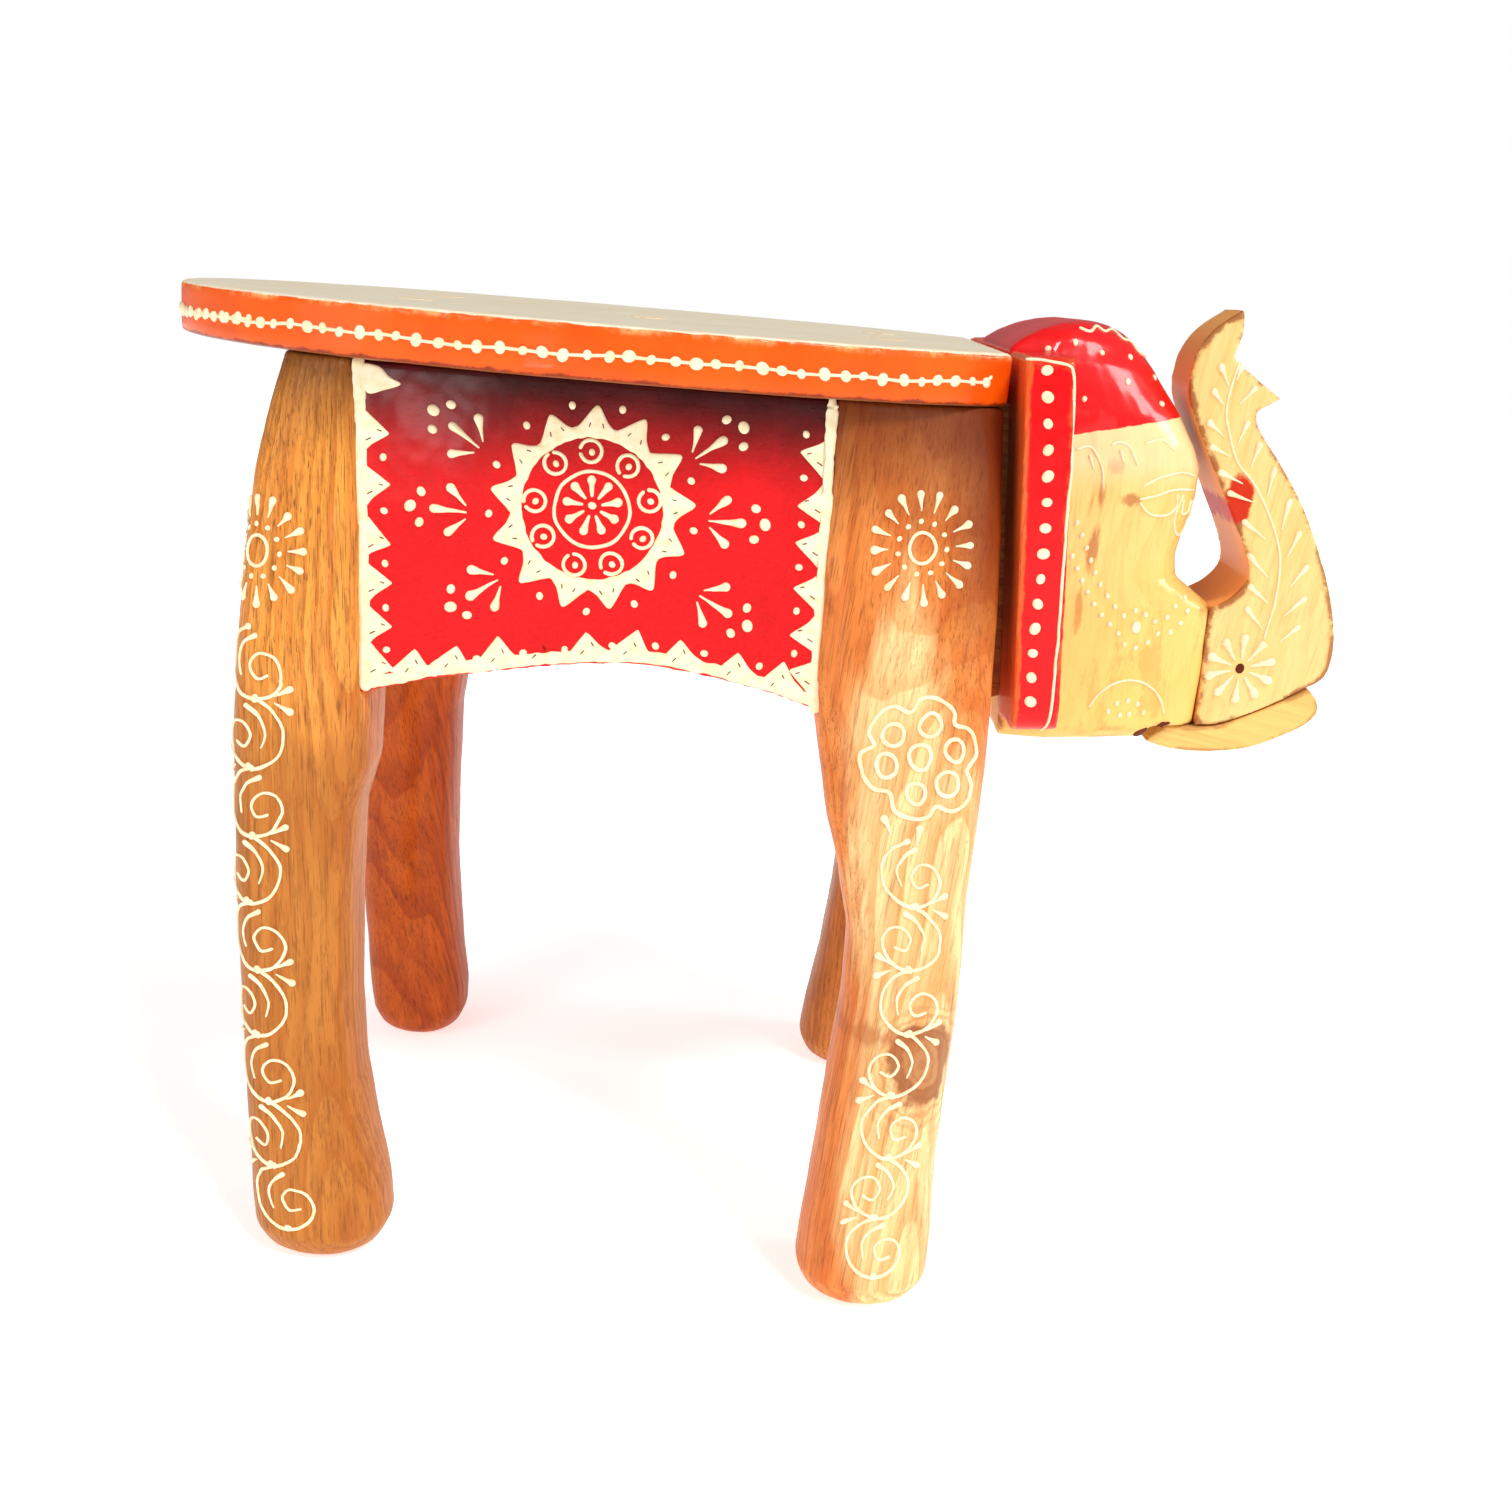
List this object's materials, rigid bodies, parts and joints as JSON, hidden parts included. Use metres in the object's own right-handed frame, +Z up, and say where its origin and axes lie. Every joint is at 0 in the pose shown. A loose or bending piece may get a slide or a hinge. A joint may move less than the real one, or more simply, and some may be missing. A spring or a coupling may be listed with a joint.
{
  "type": "carved elephant stool",
  "caption": "Low wooden stool carved and painted as an elephant: an oval seat plank on its back, splayed legs, a painted blanket, board ears and a raised trunk.",
  "frame": {"origin": "on the floor, under the middle of the overall length and width", "axes": "+X from the tail end to the trunk, +Y to the elephant's left side, +Z up"},
  "size_m": [0.394, 0.2174, 0.324],
  "materials": {
    "orange_seat": "gloss paint on the rim, clear lacquer on the pale top",
    "red_painted_wood": "gloss paint with raised cream cone work",
    "golden_wood": "clear lacquer over stained wood",
    "red_brown_wood": "clear lacquer over stained wood",
    "two_tone_wood": "clear lacquer over red heartwood and pale sapwood",
    "body_wood": "raw wood",
    "pale_yellow_wood": "clear lacquer over pale wood, with a painted cap",
    "dowel_wood": "raw wood",
    "cream_paint": "raised cone-work paint",
    "steel": "zinc plated"
  },
  "bodies": {
    "root": {"seat_plank": "orange_seat", "seat_screws": "steel", "seat_plugs": "dowel_wood", "spine_block": "body_wood", "blanket_block_right": "red_painted_wood", "blanket_block_left": "red_painted_wood", "leg_rear_right": "golden_wood", "leg_rear_left": "red_brown_wood", "leg_front_right": "two_tone_wood", "leg_front_left": "golden_wood", "leg_dowels": "dowel_wood", "blanket_dowels": "dowel_wood", "head_block": "pale_yellow_wood", "head_dowels": "dowel_wood", "ear_right": "red_painted_wood", "ear_left": "red_painted_wood", "ear_dowels": "dowel_wood", "trunk": "pale_yellow_wood", "trunk_dowels": "dowel_wood", "lower_lip": "pale_yellow_wood", "lip_nails": "steel"}
  },
  "joints": []
}
